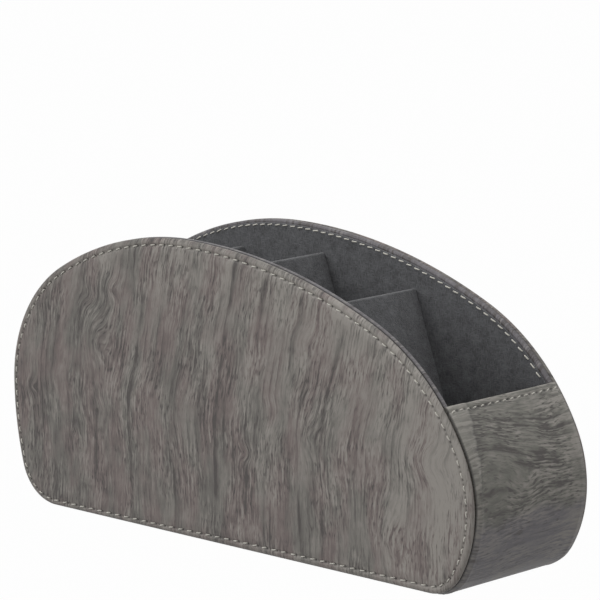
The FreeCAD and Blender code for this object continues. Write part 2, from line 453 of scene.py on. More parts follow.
backVeins = (
    (-60, 1.2, 0.60),
    (-54, 4.0, 0.20),
    (-20, 0.9, 0.45),
    (10, 0.7, 0.50),
    (70, 1.2, 0.55),
    (76, 0.5, 0.35),
    (120, 0.8, 0.40),
    (-120, 0.8, 0.40),
)
wallFigures = (
    (392, 125, 22, 34, -11),
    (374, 158, 7, 10, 2.5),
    (398, 180, 8, 9, 2),
    (352, 185, 6, 14, 1.5),
)
wallVeins = (
    (386, 1.2, 0.50),
    (380, 0.8, 0.40),
    (400, 0.9, 0.50),
    (404, 0.6, 0.35),
    (371, 0.8, 0.35),
    (394, 4.0, 0.20),
    (350, 0.6, 0.50),
    (336, 0.5, 0.40),
)
# Painted light: where the tone is made lighter or darker over a wide stretch, as light falls on the
# face: direction, from, to, tone before and after, in mm
frontPaintedLight = (
    ("slant", 20, 300, 0, 0.32),
    ("across", 100, 150, 0, 0.12),
    ("along", 90, 150, 0, 0.06),
    ("across", -170, -100, -0.13, 0),
)
wallPaintedLight = (("along", 170, 205, 0, 0.16), ("across", 325, 360, 0.09, 0))
# How far drift, wander and quiver move the streaks, in mm
sways = {
    "panel": (10, 3.8, 1.3),
    "wall": (12, 6, 1.5),
    "board": (10, 6, 1.8),
    "base": (10, 7, 2.6),
}


def grainLeather(name, seed, sway, bends=(), lines=(), lean=0, cool=None, lightRamps=(), objectAxes=None):
    # Printed wood grain on leather cloth. Streaks follow the level lines of a field, which is the
    # distance across the grain plus wandering noise, pushed aside round each bend by a bell
    look, tones, reliefs = leatherLook, toneShares, reliefShares
    material, base = startMaterial(name)
    if objectAxes:
        parts = base.node("ShaderNodeTexCoord", output=3).parts()
        across, along = parts[objectAxes[0]], parts[objectAxes[1]]
    else:
        across, along = base.node("ShaderNodeUVMap", {"uv_map": "grain"}).parts()[:2]

    def noise(key, sideways):
        wide, long, shift, *rest = printNoise[key]
        return base.noise(sideways / (wide * mm), along / (long * mm), seed + shift, *rest)

    field = across
    for key, reach in zip(("drift", "wander", "quiver"), sway):
        field = field + (noise(key, across) - 0.5) * (reach * mm)
    field = field - along.between(*look["leanBetween"]) * (along - look["leanMiddle"]) * lean
    for x, z, width, height, push in bends:
        sideways, lengthways = (across - x * mm) / (width * mm), (along - z * mm) / (height * mm)
        field = field + (sideways ** 2.0 + lengthways ** 2.0).bell() * (push * mm)
    # Each ring starts at a sharp dark edge and pales, and they come and go along the grain
    rings = {}
    for key, (width, waver, fall, edge, comes) in printRings.items():
        saw = (field / width + noise(key + "Waver", field) * waver).math("FRACT")
        shown = noise(key + "Comes", field).between(*comes)
        rings[key] = (1.0 - saw) ** fall * saw.between(0.0, edge) * shown
    streak, fibre, pore, broad = (noise(key, field) for key in ("streak", "fibre", "pore", "broad"))
    cloud = noise("cloud", across)
    # Some places are calm and others closely lined
    lined = noise("lined", field).between(*look["linedBetween"])
    tone = (streak - 0.5) * tones["streak"] + (fibre - 0.5) * tones["fibre"]
    tone = tone - rings["fine"] * tones["fine"] - pore.between(*look["poresBetween"]) * tones["pores"]
    tone = tone * (lined * look["linedMore"] + look["linedLeast"]) + tones["base"]
    tone = tone + (broad - 0.5) * tones["broad"] + (cloud - 0.5) * tones["cloud"]
    tone = tone - rings["ring"] * tones["ring"]
    ways = {"across": across, "along": along, "slant": across + along}
    # Painted light: wide ramps of lighter and darker tone
    for way, low, high, before, after in lightRamps:
        tone = tone + ways[way].between(low * mm, high * mm) * (after - before) + before
    for x, halfWidth, strength in lines:
        reach = (field - x * mm) / (halfWidth * mm)
        fades = base.noise(0.0, along / look["veinCell"], x * look["veinShift"], 1)
        fades = fades.between(*look["veinBetween"])
        tone = tone - (reach * reach).bell() * fades * (strength * look["veinShare"])
    if cool:
        # Cooler and calmer below a height that wavers
        level = across + (noise("cool", across) - 0.5) * look["coolWaver"]
        above = level.between(cool * mm - look["coolHalf"], cool * mm + look["coolHalf"])
        tone = tone * (above * look["coolMore"] + look["coolLeast"])
        colour = above.mixed(look["purple"], look["olive"])
    else:
        patch = noise("patch", field).between(*look["patchFrom"])
        colour = patch.mixed(look["green"], look["pink"])
    # The rim attribute is partly a paler band and partly painted light, and painted shade where it
    # falls below 0; the other attribute read here is painted shade, which mixes the colour towards a
    # dark shade colour
    rim = base.node("ShaderNodeAttribute", {"attribute_name": "rim"}, output=2)
    shadePaint = base.node("ShaderNodeAttribute", {"attribute_name": "shadePaint"}, output=2)
    tone = (tone + rim * tones["rim"]) * look["contrast"]
    colour = (tone * -1.0).mixed(colour, look["dark"])
    colour = tone.mixed(colour, look["light"])
    colour = (rim * look["rimShare"]).mixed(colour, look["rim"])
    colour = shadePaint.mixed(colour, look["shadeColour"])
    deepPores = pore.between(*look["deepPoresBetween"])
    relief = fibre * reliefs["fibre"] + noise("pebble", across) * reliefs["pebble"]
    relief = relief - deepPores * reliefs["pores"] - rings["ring"] * reliefs["ring"]
    rough = look["roughness"] + (fibre - 0.5) * look["roughSpread"]
    finishCloth(base, colour, rough, relief, look["emboss"], look["embossStrength"])
    return material


feltLook = {
    "mottleCell": 6 * mm,
    "hairWidths": (0.5 * mm, 0.6 * mm),
    "hairLength": 2.2 * mm,
    "mottle": 0.35,
    "hairs": 0.75,
    "base": -0.08,
    "between": (0.22, 0.80),
    "mottleRelief": 0.8,
    "emboss": 0.35 * mm,
    "embossStrength": 0.9,
    "roughness": 0.95,
    "sheenRoughness": 0.6,
}


def feltCloth(name, dark, light, sheen):
    # Short matted fibres: fine noise stretched one way and the other, over soft mottling
    look = feltLook
    material, base = startMaterial(name)
    x, y, z = base.node("ShaderNodeTexCoord", output=3).parts()
    cell, (thin, fine), long = look["mottleCell"], look["hairWidths"], look["hairLength"]
    mottle = base.noise(x / cell, y / cell, z / cell, 3)
    flatHairs = base.noise(x / thin, y / long, z / long, 2)
    hairs = flatHairs.math("MAXIMUM", base.noise(x / long, y / fine, z / fine, 2))
    tone = mottle * look["mottle"] + hairs * look["hairs"] + look["base"]
    colour = tone.between(*look["between"]).mixed(dark, light)
    relief = hairs + mottle * look["mottleRelief"]
    sheens = {"Sheen Weight": sheen, "Sheen Roughness": look["sheenRoughness"]}
    strength = look["embossStrength"]
    finishCloth(base, colour, look["roughness"], relief, look["emboss"], strength, sheens)
    return material


threadLook = {
    "dark": linear(186, 182, 172),
    "light": linear(238, 235, 227),
    "bandsAlong": 9.0,
    "bandsAround": 2.0,
    "fuzzAlong": 14.0,
    "fuzzAround": 6.0,
    "twist": 0.22,
    "fuzz": 0.7,
    "base": 0.1,
    "between": (0.1, 0.8),
    "emboss": 0.08 * mm,
    "embossStrength": 0.7,
    "roughness": 0.7,
}


def sewingThread(name):
    # Twisted thread: bands that run slantwise along each stitch's own UV
    look = threadLook
    material, base = startMaterial(name)
    around, along = base.node("ShaderNodeUVMap", {"uv_map": "grain"}).parts()[:2]
    bands = along * look["bandsAlong"] + around * look["bandsAround"]
    twist = (bands * (2 * math.pi)).math("SINE")
    fuzz = base.noise(along * look["fuzzAlong"], around * look["fuzzAround"], 1.0, 2)
    tone = twist * look["twist"] + fuzz * look["fuzz"] + look["base"]
    colour = tone.between(*look["between"]).mixed(look["dark"], look["light"])
    finishCloth(base, colour, look["roughness"], twist, look["emboss"], look["embossStrength"])
    return material


frontLeather = grainLeather(
    "frontLeather", 0, sways["panel"], figures, veins, lean=0.19, lightRamps=frontPaintedLight
)
backLeather = grainLeather("backLeather", 20, sways["panel"], backFigures, backVeins, lean=0.10)
wallLeather = grainLeather(
    "wallLeather", 50, sways["wall"], wallFigures, wallVeins, cool=360.5, lightRamps=wallPaintedLight
)
# A height that no board reaches: the side boards are cool all over
boardLeather = grainLeather("boardLeather", 70, sways["board"], cool=9000)
baseLeather = grainLeather("baseLeather", 90, sways["base"], objectAxes=(1, 0))
liningFelt = feltCloth("liningFelt", linear(46, 46, 48), linear(104, 105, 108), sheen=0.25)
padFelt = feltCloth("padFelt", linear(24, 24, 25), linear(44, 44, 45), sheen=0.1)
thread = sewingThread("thread")
print("materials made")


# Stitches

stitchLook = {
    "length": 3.5 * mm,
    "radius": 0.37 * mm,
    "lengthSpread": 0.03,
    "slant": 0.28 * mm,
    "slantSpread": 0.25,
    "lift": 0.75,
    "sink": 0.75 * mm,
    "lobes": 0.10,
    "turns": 1.6,
    "around": 8,
    "rings": 9,
}


def stitches(name, centres, along, out, lengths, seed):
    # Each stitch is a bowed thread: t from -1 to 1 runs along it, its height falls as the fourth power
    # of t so that both ends dive, and its two lobes turn with t
    look = stitchLook
    rng = np.random.default_rng(seed)
    count = len(centres)
    side = np.cross(out, along)
    t = np.linspace(-1, 1, look["rings"])
    around = np.linspace(0, 2 * np.pi, look["around"], endpoint=False)
    reach = lengths[:, None] / 2 * (1 + rng.normal(0, look["lengthSpread"], (count, 1)))
    skew = look["slant"] * (1 + rng.normal(0, look["slantSpread"], (count, 1)))
    lift = look["radius"] * look["lift"] - look["sink"] * t ** 4
    spine = (
        centres[:, None]
        + along[:, None] * (reach * t)[..., None]
        + side[:, None] * (skew * t)[..., None]
        + out[:, None] * (lift * np.ones((count, 1)))[..., None]
    )
    radius = look["radius"] * np.sqrt(np.clip(1 - np.abs(t) ** 7, 0, 1))
    lobed = 1 + look["lobes"] * np.cos(2 * (around[None] - look["turns"] * np.pi * t[:, None]))
    ring = radius[:, None] * lobed
    points = (
        spine[:, :, None]
        + side[:, None, None] * (ring * np.cos(around))[None, ..., None]
        + out[:, None, None] * (ring * np.sin(around))[None, ..., None]
    )
    faces = gridFaces(points.shape[:3], loopColumns=True)
    u, v = np.meshgrid(np.linspace(0, 1, look["around"] + 1), np.linspace(0, 1, look["rings"]))
    corners = np.tile(gridCorners(np.stack([u, v], -1)), (count, 1))
    return makeMesh(name, points, faces.tolist(), corners)


# Outer side panels: wrapped boards, sewn round their border

panelLook = {
    "rimWidth": 2.1 * mm,
    "rimDepth": 1.55 * mm,
    "seamWidth": 0.85 * mm,
    "stitchInset": 3.6 * mm,
    "stitchCount": 123,
    "insetLess": 0.9 * mm,
    "footAcross": (10 * mm, -60 * mm),
    "footUp": (105 * mm, 70 * mm),
    "samplesPerStitch": 12,
    "channelDepth": 0.40 * mm,
    "channelWidth": 0.75 * mm,
    "channelBetween": (1.2 * mm, 2.6 * mm),
    "pitDepth": 0.55 * mm,
    "pitLength": 0.62 * mm,
    "pitWidth": 0.55 * mm,
    "pitFromMiddle": 2.1 * mm,
    "pitOpen": 0.62,
    "pitSkew": 0.38,
    "pitShade": 1.1,
    "swell": 0.22 * mm,
    "swellInset": 7.5 * mm,
    "swellWidth": 2.2 * mm,
    "fieldInset": 15 * mm,
    "faceParts": (6 * mm, 5.7 * mm),
    "faceSteps": (10, 15),
    "rimSteps": 7,
    "tuckSteps": 6,
    "behind": (2.5 * mm, 12 * mm),
    "fieldCentre": (8 * mm, 68 * mm),
    "fieldRings": 9,
    # Painted shade where the rim turns up to the light, where that turn lies, and the rim band's tint
    # by which way the outline faces, partly painted light
    "turnPaintedShade": 1.6,
    "turnBetween": (0.6 * mm, 2.0 * mm),
    "rimTintAndPaintedLight": ((-1, 0.3), (-0.5, 0.3), (0, 0.6), (0.7, 0.7), (1, 0.4)),
}


def panelProfile():
    # The section from the field over the sewn border, round the rim and in behind, as
    # (inset, depth behind the face, unrolled inset, seam shade)
    look = panelLook
    width, depth, seam = look["rimWidth"], look["rimDepth"], look["seamWidth"]
    thick = levels["panelFace"] - levels["bodyHalf"]
    (coarseEnd, fineStart), (coarse, fine) = look["faceParts"], look["faceSteps"]
    face = np.linspace(look["fieldInset"], coarseEnd, coarse)
    face = np.concatenate([face, np.linspace(fineStart, width, fine)])
    turn = np.linspace(0, np.pi / 2, look["rimSteps"])[1:]
    rim = np.stack([width * (1 - np.sin(turn)), depth * (1 - np.cos(turn))], -1)
    back = np.linspace(0, np.pi / 2, look["tuckSteps"])[1:]
    tuck = np.stack([seam * (1 - np.cos(back)), depth + (thick - depth) * np.sin(back)], -1)
    inner = np.array([[place, thick] for place in look["behind"]])
    section = np.concatenate([np.stack([face, 0 * face], -1), rim, tuck, inner])
    steps = np.hypot(*np.diff(section, axis=0).T)
    unrolled = look["fieldInset"] - np.concatenate([[0], np.cumsum(steps)])
    shade = smoothStep(0.3 * mm, seam, section[:, 0]) * (section[:, 1] > depth * 1.05)
    return section[:, 0], section[:, 1], unrolled, shade


def stitchInset(point):
    # The row runs nearer the edge round the foot of the tall end
    look = panelLook
    (fromX, toX), (fromZ, toZ) = look["footAcross"], look["footUp"]
    share = smoothStep(-fromX, -toX, -point[:, 0]) * smoothStep(-fromZ, -toZ, -point[:, 1])
    return look["stitchInset"] - look["insetLess"] * share


def chord(runs, depth=0.0):
    return border(runs + 1 * mm, depth)[0] - border(runs - 1 * mm, depth)[0]


def panel(name, side, node, material):
    # Rows run round the outline and columns down the section; behind the face the stitch channel is a
    # bell-shaped trough, deeper at each needle hole, with a low swell inside it
    look = panelLook
    count, face = look["stitchCount"], levels["panelFace"]
    rows = count * look["samplesPerStitch"]
    inset, depth, unrolled, shade = panelProfile()
    base, normal = border(np.linspace(0, wholeLength, rows, endpoint=False))
    share = np.arange(rows) / look["samplesPerStitch"]
    fromMiddle = (share - np.floor(share) - 0.5)[:, None] * wholeLength / count
    # Two needle holes for each stitch, of which the one on the right is the more open
    rightward = normal[:, 1:] * side
    hole = 0.0
    for end in (-1, 1):
        gap = fromMiddle - end * look["pitFromMiddle"]
        openness = look["pitOpen"] + look["pitSkew"] * rightward * end
        hole = hole + openness * np.exp(-((gap / look["pitLength"]) ** 2))
    fromRow = inset[None] - stitchInset(base)[:, None]
    channel = np.exp(-((fromRow / look["channelWidth"]) ** 2))
    hole = hole * np.exp(-((fromRow / look["pitWidth"]) ** 2))
    swell = np.exp(-(((inset - look["swellInset"]) / look["swellWidth"]) ** 2))
    onFace = smoothStep(*look["channelBetween"], inset) * (depth < look["rimDepth"] * 0.7)
    trough = look["channelDepth"] * channel + look["pitDepth"] * hole - look["swell"] * swell
    sunk = depth + trough * onFace
    flat = base[:, None] - normal[:, None] * inset[None, :, None]
    shell = standing(flat, side * (face - sunk))
    centre = np.array(look["fieldCentre"])
    towards = np.linspace(1, 0, look["fieldRings"])[:-1, None]
    inward = flat[:, :1] + (centre - flat[:, :1]) * towards
    field = standing(inward, side * (face - sunk[:, :1]))
    centres = np.broadcast_to(centre, (rows, 1, 2))
    points = np.concatenate([field, shell, standing(centres, side * levels["bodyHalf"])], 1)
    outer = base[:, None] - normal[:, None] * unrolled[None, :, None]
    grain = np.concatenate([inward, outer, centres], 1)
    grain = np.concatenate([grain, grain[:1]], 0)
    paintedShades, rimsAndPaintedLight = np.zeros(points.shape[:2]), np.zeros(points.shape[:2])
    body = slice(field.shape[1], field.shape[1] + len(inset))
    # Painted shade in the needle holes, more in the more open one, and along the seam's tuck
    paintedShades[:, body] = np.clip(hole * onFace * look["pitShade"] + shade, 0, 1)
    # Paler outside the stitches, by an amount that follows which way the outline faces, which is
    # painted light; and painted shade where the rim turns up to the light from above
    tintAndPaintedLight = np.interp(normal[:, 1], *zip(*look["rimTintAndPaintedLight"]))[:, None]
    turnEnd, turnStart = look["turnBetween"]
    turning = smoothStep(-turnStart, -turnEnd, -inset) * np.clip(normal[:, 1:], 0, 1)
    rimsAndPaintedLight[:, body] = smoothStep(-1 * mm, 0, -fromRow) * tintAndPaintedLight - turning * look["turnPaintedShade"]
    faces = gridFaces((1, *points.shape[:2]), loopRows=True).tolist()
    piece = makeMesh(name, points, faces, gridCorners(grain), {"shadePaint": paintedShades, "rim": rimsAndPaintedLight})
    fit(piece, material, "wood_grain_leather", node)
    middle = (np.arange(count) + 0.5) * wholeLength / count
    spots, outs = border(middle)
    seat = spots - outs * stitchInset(spots)[:, None]
    seat = standing(seat, side * (face - look["channelDepth"]))
    shrink = np.linalg.norm(chord(middle, look["stitchInset"]), axis=1) / (2 * mm)
    along, out = standing(unit(chord(middle)), 0.0), np.tile([0.0, side, 0.0], (count, 1))
    lengths = stitchLook["length"] * shrink
    sewn = stitches(name + "Stitches", seat, along, out, lengths, 11 + side)
    fit(sewn, thread, "thread")


panel("panelFront", -1, "front_panel", frontLeather)
panel("panelBack", 1, "back_panel", backLeather)
print("side panels made")


# Boards with a rounded edge: side boards, linings, dividers, pad

def board(name, loop, low, high, edge, upright=True, shading=None):
    # A closed loop carried across from low to high; near both ends it is drawn in by a quarter circle.
    # Shading is the side for painted shade, how much of it by column from there, and a tone for the
    # whole board, below 0, that darkens it as painted shade
    n = len(loop)
    before, after = loop - np.roll(loop, 1, 0), np.roll(loop, -1, 0) - loop
    after = unit(after)
    bisector = unit(unit(before) + after)
    inward = np.stack([-bisector[:, 1], bisector[:, 0]], -1)
    turn = np.clip(np.sum(bisector * after, 1), 0.5, 1)
    following = np.roll(loop, -1, 0)
    area = np.sum(loop[:, 0] * following[:, 1] - following[:, 0] * loop[:, 1]) / 2
    inward = inward * np.sign(area) / turn[:, None]
    quarter = np.linspace(0, np.pi / 2, 4)
    drawn, entered = edge * (1 - np.sin(quarter)), edge * (1 - np.cos(quarter))
    drawIn = np.concatenate([drawn, drawn[::-1]])
    across = np.concatenate([low + entered, high - entered[::-1]])
    flat = loop[:, None] + inward[:, None] * drawIn[None, :, None]
    if upright:
        points = standing(flat, np.broadcast_to(across, flat.shape[:2]))
    else:
        points = np.concatenate([flat, np.broadcast_to(across, flat.shape[:2])[..., None]], -1)
    faces = gridFaces((1, *points.shape[:2]), loopRows=True).tolist()
    columns = len(across)
    faces.append([i * columns for i in range(n)])
    faces.append([i * columns + columns - 1 for i in reversed(range(n))])
    unrolled = np.abs(across - across.mean())
    outer = loop[:, None] - inward[:, None] * (unrolled.max() - unrolled)[None, :, None]
    outer = np.concatenate([outer, outer[:1]], 0)
    corners = np.concatenate([gridCorners(outer), outer[:-1, 0], outer[:-1, -1][::-1]])
    values = None
    if shading:
        side, shades, tone = shading
        paintedShades = np.zeros(columns)
        paintedShades[: len(shades)] = shades
        paintedShades = paintedShades if side < 0 else paintedShades[::-1]
        values = {"shadePaint": np.tile(paintedShades, n), "rim": np.full(n * columns, tone)}
    return makeMesh(name, points, faces, corners, values)


def sideLoop(rimInset, spacing=2 * mm):
    # Inside the walls below, and out to the rim along the opening
    def part(start, end, depth):
        count = int((end - start) / spacing) + 2
        return border(np.linspace(start, end, count), depth)[0]

    inside = levels["boardInset"]
    low, tall = part(0.0, lowTopRun, inside), part(tallTopRun, curvedLength, inside)
    return np.concatenate([low, part(lowTopRun, tallTopRun, rimInset), tall])


sideLook = {
    "boardEdge": 0.9 * mm,
    # Painted shade on the side boards: by column from the panel's seam, and all over each board
    "boardShades": (1.0, 1.0, 0.7, 0.15),
    "boardShadeTones": {"Front": -0.4, "Back": -1.3},
    "liningSetback": 1.6 * mm,
    "liningEdge": 0.35 * mm,
}

for word, side in (("Front", -1), ("Back", 1)):
    across = sorted((side * levels["bodyHalf"], side * levels["boardInner"]))
    shading = (side, sideLook["boardShades"], sideLook["boardShadeTones"][word])
    name, edge = "sideBoard" + word, sideLook["boardEdge"]
    piece = board(name, sideLoop(0.0), *across, edge, shading=shading)
    fit(piece, boardLeather, "wood_grain_leather", word.lower() + "_side_board")
    across = sorted((side * levels["boardInner"], side * levels["bayHalf"]))
    loop = sideLoop(sideLook["liningSetback"])
    piece = board("lining" + word, loop, *across, sideLook["liningEdge"])
    fit(piece, liningFelt, "lining_felt", word.lower() + "_lining")
print("side boards and linings made")


# The row of stitches that shows inside, along the opening

insideStitchLook = {
    "inset": 2.6 * mm,
    "pitch": 5.45 * mm,
    "length": 4.15 * mm,
    "endGap": 4 * mm,
    "seat": 0.1 * mm,
}


def insideStitches(name, side, seed):
    look = insideStitchLook
    start, end = lowTopRun + look["endGap"], tallTopRun - look["endGap"]
    count = int((end - start) / look["pitch"])
    middle = start + (np.arange(count) + 0.5) * (end - start) / count
    spots, outs = border(middle)
    ahead = np.stack([-outs[:, 1], outs[:, 0]], -1)
    seat = standing(spots - outs * look["inset"], side * (levels["bayHalf"] + look["seat"]))
    out = np.tile([0.0, -side, 0.0], (count, 1))
    lengths = np.full(count, look["length"])
    return stitches(name, seat, standing(ahead, 0.0), out, lengths, seed)


fit(insideStitches("insideStitchesFront", -1, 31), thread, "thread")
fit(insideStitches("insideStitchesBack", 1, 32), thread, "thread")


# End walls: rolled edges at the seams, a hem sewn below the top edge

wallLook = {
    "rowSpacing": 0.8 * mm,
    "hemFrom": 8 * mm,
    "hemRows": 18,
    "lipRows": 6,
    "edgeWidth": 4.68 * mm,
    "edgeColumns": 12,
    "fieldColumns": 112,
    "innerColumns": 9,
    "rollWidth": 3.6 * mm,
    "rollDrop": 1.2 * mm,
    "rollFall": 1.6,
    "bead": 0.18 * mm,
    "beadFromSeam": 3.42 * mm,
    "beadWidth": 0.9 * mm,
    "pucker": 0.08 * mm,
    "puckerLength": 4.2 * mm,
    "puckerQuicker": 1.7,
    "hemDrop": 3.6 * mm,
    "hemBand": (2.4 * mm, 3.4 * mm),
    "hemStitches": 15,
    "hemLength": 2.5 * mm,
    "channelDepth": 0.30 * mm,
    "channelWidth": 0.8 * mm,
    "pitDepth": 0.5 * mm,
    "pitWidth": 0.5 * mm,
    "pitLength": 0.65 * mm,
    "topRound": 1.2 * mm,
    "lipNarrows": 0.75,
    "lipShift": 0.5 * mm,
    "closingGrain": 4 * mm,
    "foldWidth": 14 * mm,
    "foldFrom": 0.41,
    "foldCurve": 1.3,
    "foldFade": 0.3,
    "foldLift": 0.9 * mm,
    "foldFlank": 3.4 * mm,
    "foldWaver": 0.8 * mm,
    "foldWaverLength": 14 * mm,
    "tick": 0.2 * mm,
    "tickLength": 1.9 * mm,
    "tickWidth": 1.6 * mm,
    "creaseFromFold": 1.3 * mm,
    "creaseWidth": 0.9 * mm,
    "turnedUnder": (8 * mm, 12 * mm),
    "tuck": (0.1 * mm, 0.9 * mm),
    # Painted shade in the holes, the tucks, the fold feet and where the wrap is turned under
    "shades": {"hole": 1.1, "tuck": 0.85, "creaseShade": 0.28, "turnedUnder": 0.85},
    # Painted highlight on the rolls and folds, painted light and shade on the ticks, and the paler band
    # above the hem
    "paintedLightAndBand": {"roll": 0.6, "fold": 1.5, "band": 0.3, "tick": 3500},
    "seams": {"low": (1.0, 0.3), "tall": (0.7, 0.5)},
    "grain": {"low": (0.31, 0.12), "tall": (0.71, 0.2)},
}


def wallGrid(height):
    # Rows up the wall, closer at the hem and round the lip, and columns of its face from seam to seam
    look = wallLook
    halfWidth, hemFoot = levels["bodyHalf"], height - look["hemFrom"]
    body = np.linspace(0, hemFoot, int(height / look["rowSpacing"]))
    hem = np.linspace(hemFoot, height - look["topRound"], look["hemRows"])[1:]
    turn = np.linspace(0, np.pi / 2, look["lipRows"])[1:]
    lip = height - look["topRound"] * (1 - np.sin(turn))
    edge = np.linspace(-halfWidth, -halfWidth + look["edgeWidth"], look["edgeColumns"])
    field = np.linspace(edge[-1], -edge[-1], look["fieldColumns"])[1:-1]
    return np.concatenate([body, hem, lip]), np.concatenate([edge, field, -edge[::-1]])


def wallFold(share, up, fromSeam, seam, seed):
    # The wrap's fold beside each seam: widest at the top, gone below, with a steep flank that carries
    # small ticks, and a line of painted shade at its foot
    look = wallLook
    climb = np.clip((share - look["foldFrom"]) / (1 - look["foldFrom"]), 0, 1)[:, None]
    climb = climb ** look["foldCurve"]
    reach = look["foldWidth"] * climb - fromSeam
    reach = reach + look["foldWaver"] * wobble(up / look["foldWaverLength"], seed)[:, None]
    strength = seam * climb ** look["foldFade"]
    flank = look["foldFlank"] / 2
    fold = smoothStep(-flank, flank, reach) * strength
    ticks = wobble(up / look["tickLength"], seed + 1)[:, None] * look["tick"] * strength
    ticks = ticks * np.exp(-((reach / look["tickWidth"]) ** 2))
    fromCrease = (reach + look["creaseFromFold"]) / look["creaseWidth"]
    return fold, ticks, np.exp(-(fromCrease ** 2)) * strength


def endWall(name, footRun, topRun, node, end, seed):
    # Rows run up the wall and columns round its section: outer face from seam to seam, then the inner
    # face back; at the top the section shrinks to its middle by a rounded step
    look, shades, paintedLightAndBand = wallLook, wallLook["shades"], wallLook["paintedLightAndBand"]
    halfWidth, proud = levels["bodyHalf"], outline["proud"]
    sign = 1.0 if topRun > footRun else -1.0
    height = abs(topRun - footRun)
    up, outerY = wallGrid(height)
    fromTop, fromSeam = height - up, halfWidth - np.abs(outerY)
    seam = np.where(outerY < 0, *look["seams"][end])
    fall = 1 - np.clip(fromSeam / look["rollWidth"], 0, 1)
    roll = seam * look["rollDrop"] * fall ** look["rollFall"]
    bead = np.exp(-(((fromSeam - look["beadFromSeam"]) / look["beadWidth"]) ** 2)) * look["bead"]
    onRoll = np.exp(-((fromSeam / look["rollWidth"]) ** 4))
    # Puckers: one wave that is opposite at the two seams and a quicker one that is the same
    waves = up / look["puckerLength"]
    wave = wobble(waves, seed)[:, None] * np.sign(outerY)
    wave = wave + wobble(waves * look["puckerQuicker"], seed + 1)[:, None]
    pucker = look["pucker"] * wave * onRoll * smoothStep(0, 1 * mm, fromSeam)
    fold, ticks, creaseShade = wallFold(up / height, up, fromSeam, seam, seed + 2)
    # Hem: a channel along the row of stitches, with a hole between each two
    pitch = 2 * halfWidth / look["hemStitches"]
    share = (outerY + halfWidth) / pitch
    fromHole, fromRow = np.abs(share - np.round(share)) * pitch, fromTop - look["hemDrop"]
    line = np.exp(-((fromRow / look["channelWidth"]) ** 2))[:, None]
    hole = np.exp(-((fromRow / look["pitWidth"]) ** 2))[:, None]
    hole = hole * np.exp(-((fromHole / look["pitLength"]) ** 2))
    inset = roll - proud - bead + pucker + ticks - look["foldLift"] * fold
    inset = inset + look["channelDepth"] * line + look["pitDepth"] * hole
    innerY = np.linspace(halfWidth, -halfWidth, look["innerColumns"])
    inner = np.full((len(up), len(innerY)), levels["wallInner"])
    section, ys = np.concatenate([inset, inner], 1), np.concatenate([outerY, innerY])
    rows, columns = section.shape
    lip = np.clip(1 - fromTop / look["topRound"], 0, 1)
    keep = 1 - (1 - np.sqrt(1 - lip ** 2))[:, None] * look["lipNarrows"]
    middleDepth = (levels["wallInner"] - proud) / 2 + look["lipShift"]
    section = middleDepth + (section - middleDepth) * keep
    base, normal = border(np.clip(footRun + sign * up, 0, curveEnd))
    flat = base[:, None] - normal[:, None] * section[..., None]
    points = standing(flat, np.broadcast_to(ys, section.shape))
    faces = gridFaces((1, rows, columns), loopColumns=True).tolist()
    faces.append(list(range(columns)))
    faces.append([(rows - 1) * columns + i for i in reversed(range(columns))])
    acrossRun = np.concatenate([[0], np.cumsum(np.hypot(np.diff(ys), np.diff(section[0])))])
    acrossRun = np.append(acrossRun, acrossRun[-1] + look["closingGrain"])
    grain = np.stack(np.meshgrid(up, acrossRun, indexing="ij"), -1) + look["grain"][end]
    corners = np.concatenate([gridCorners(grain), grain[0, :-1], grain[-1, :-1][::-1]])
    # Painted shade in the holes, the seams' tucks, along the foot of each fold and where the wrap is
    # turned under at the foot;
    # painted highlight on the rolled edges and the folds, painted light and shade on the ticks, and
    # paler in the band above the hem's stitches
    outer = slice(0, len(outerY))
    paintedShades, rimsAndPaintedLight = np.zeros(section.shape), np.zeros(section.shape)
    tuckEnd, tuckStart = look["tuck"]
    tuck = seam * smoothStep(-tuckStart, -tuckEnd, -fromSeam)
    turnedUnder = 1 - smoothStep(*look["turnedUnder"], up)[:, None]
    paintedShades[:, outer] = hole * shades["hole"] + tuck * shades["tuck"]
    paintedShades[:, outer] += creaseShade * shades["creaseShade"] + turnedUnder * shades["turnedUnder"]
    bandEnd, bandStart = look["hemBand"]
    band = smoothStep(-bandStart, -bandEnd, -fromTop)[:, None]
    edgeHighlights = np.maximum(seam * onRoll * paintedLightAndBand["roll"], fold * paintedLightAndBand["fold"])
    rimsAndPaintedLight[:, outer] = edgeHighlights + band * paintedLightAndBand["band"] - ticks * paintedLightAndBand["tick"]
    values = {"shadePaint": np.clip(paintedShades, 0, 1), "rim": rimsAndPaintedLight}
    fit(makeMesh(name, points, faces, corners, values), wallLeather, "wood_grain_leather", node)
    middle = -halfWidth + (np.arange(look["hemStitches"]) + 0.5) * pitch
    hemRow = np.abs(fromRow).argmin()
    drop = np.interp(middle, outerY, roll - bead - look["foldLift"] * fold[hemRow])
    drop = drop - proud + look["channelDepth"]
    spot, out = border(np.full(len(middle), topRun - sign * look["hemDrop"]))
    slope = np.gradient(np.interp(middle, outerY, roll), middle)
    along = unit(np.stack([-out[:, 0] * slope, np.ones(len(middle)), -out[:, 1] * slope], -1))
    outs = standing(out, 0.0)
    outs = unit(outs - along * np.sum(outs * along, 1)[:, None])
    seat = standing(spot - out * drop[:, None], middle)
    lengths = np.full(len(middle), look["hemLength"])
    fit(stitches(name + "Hem", seat, along, outs, lengths, seed + 5), thread, "thread")


curveEnd = curvedLength - 1e-9
endWall("endWallLow", 0.0, lowTopRun, "low_end_wall", "low", 41)
endWall("endWallTall", curvedLength, tallTopRun, "tall_end_wall", "tall", 43)
print("end walls made")


# Felt inside the end walls, on the floor and under the base

endLiningLook = {"setback": 5 * mm, "edge": 0.2 * mm, "spacing": 2 * mm}


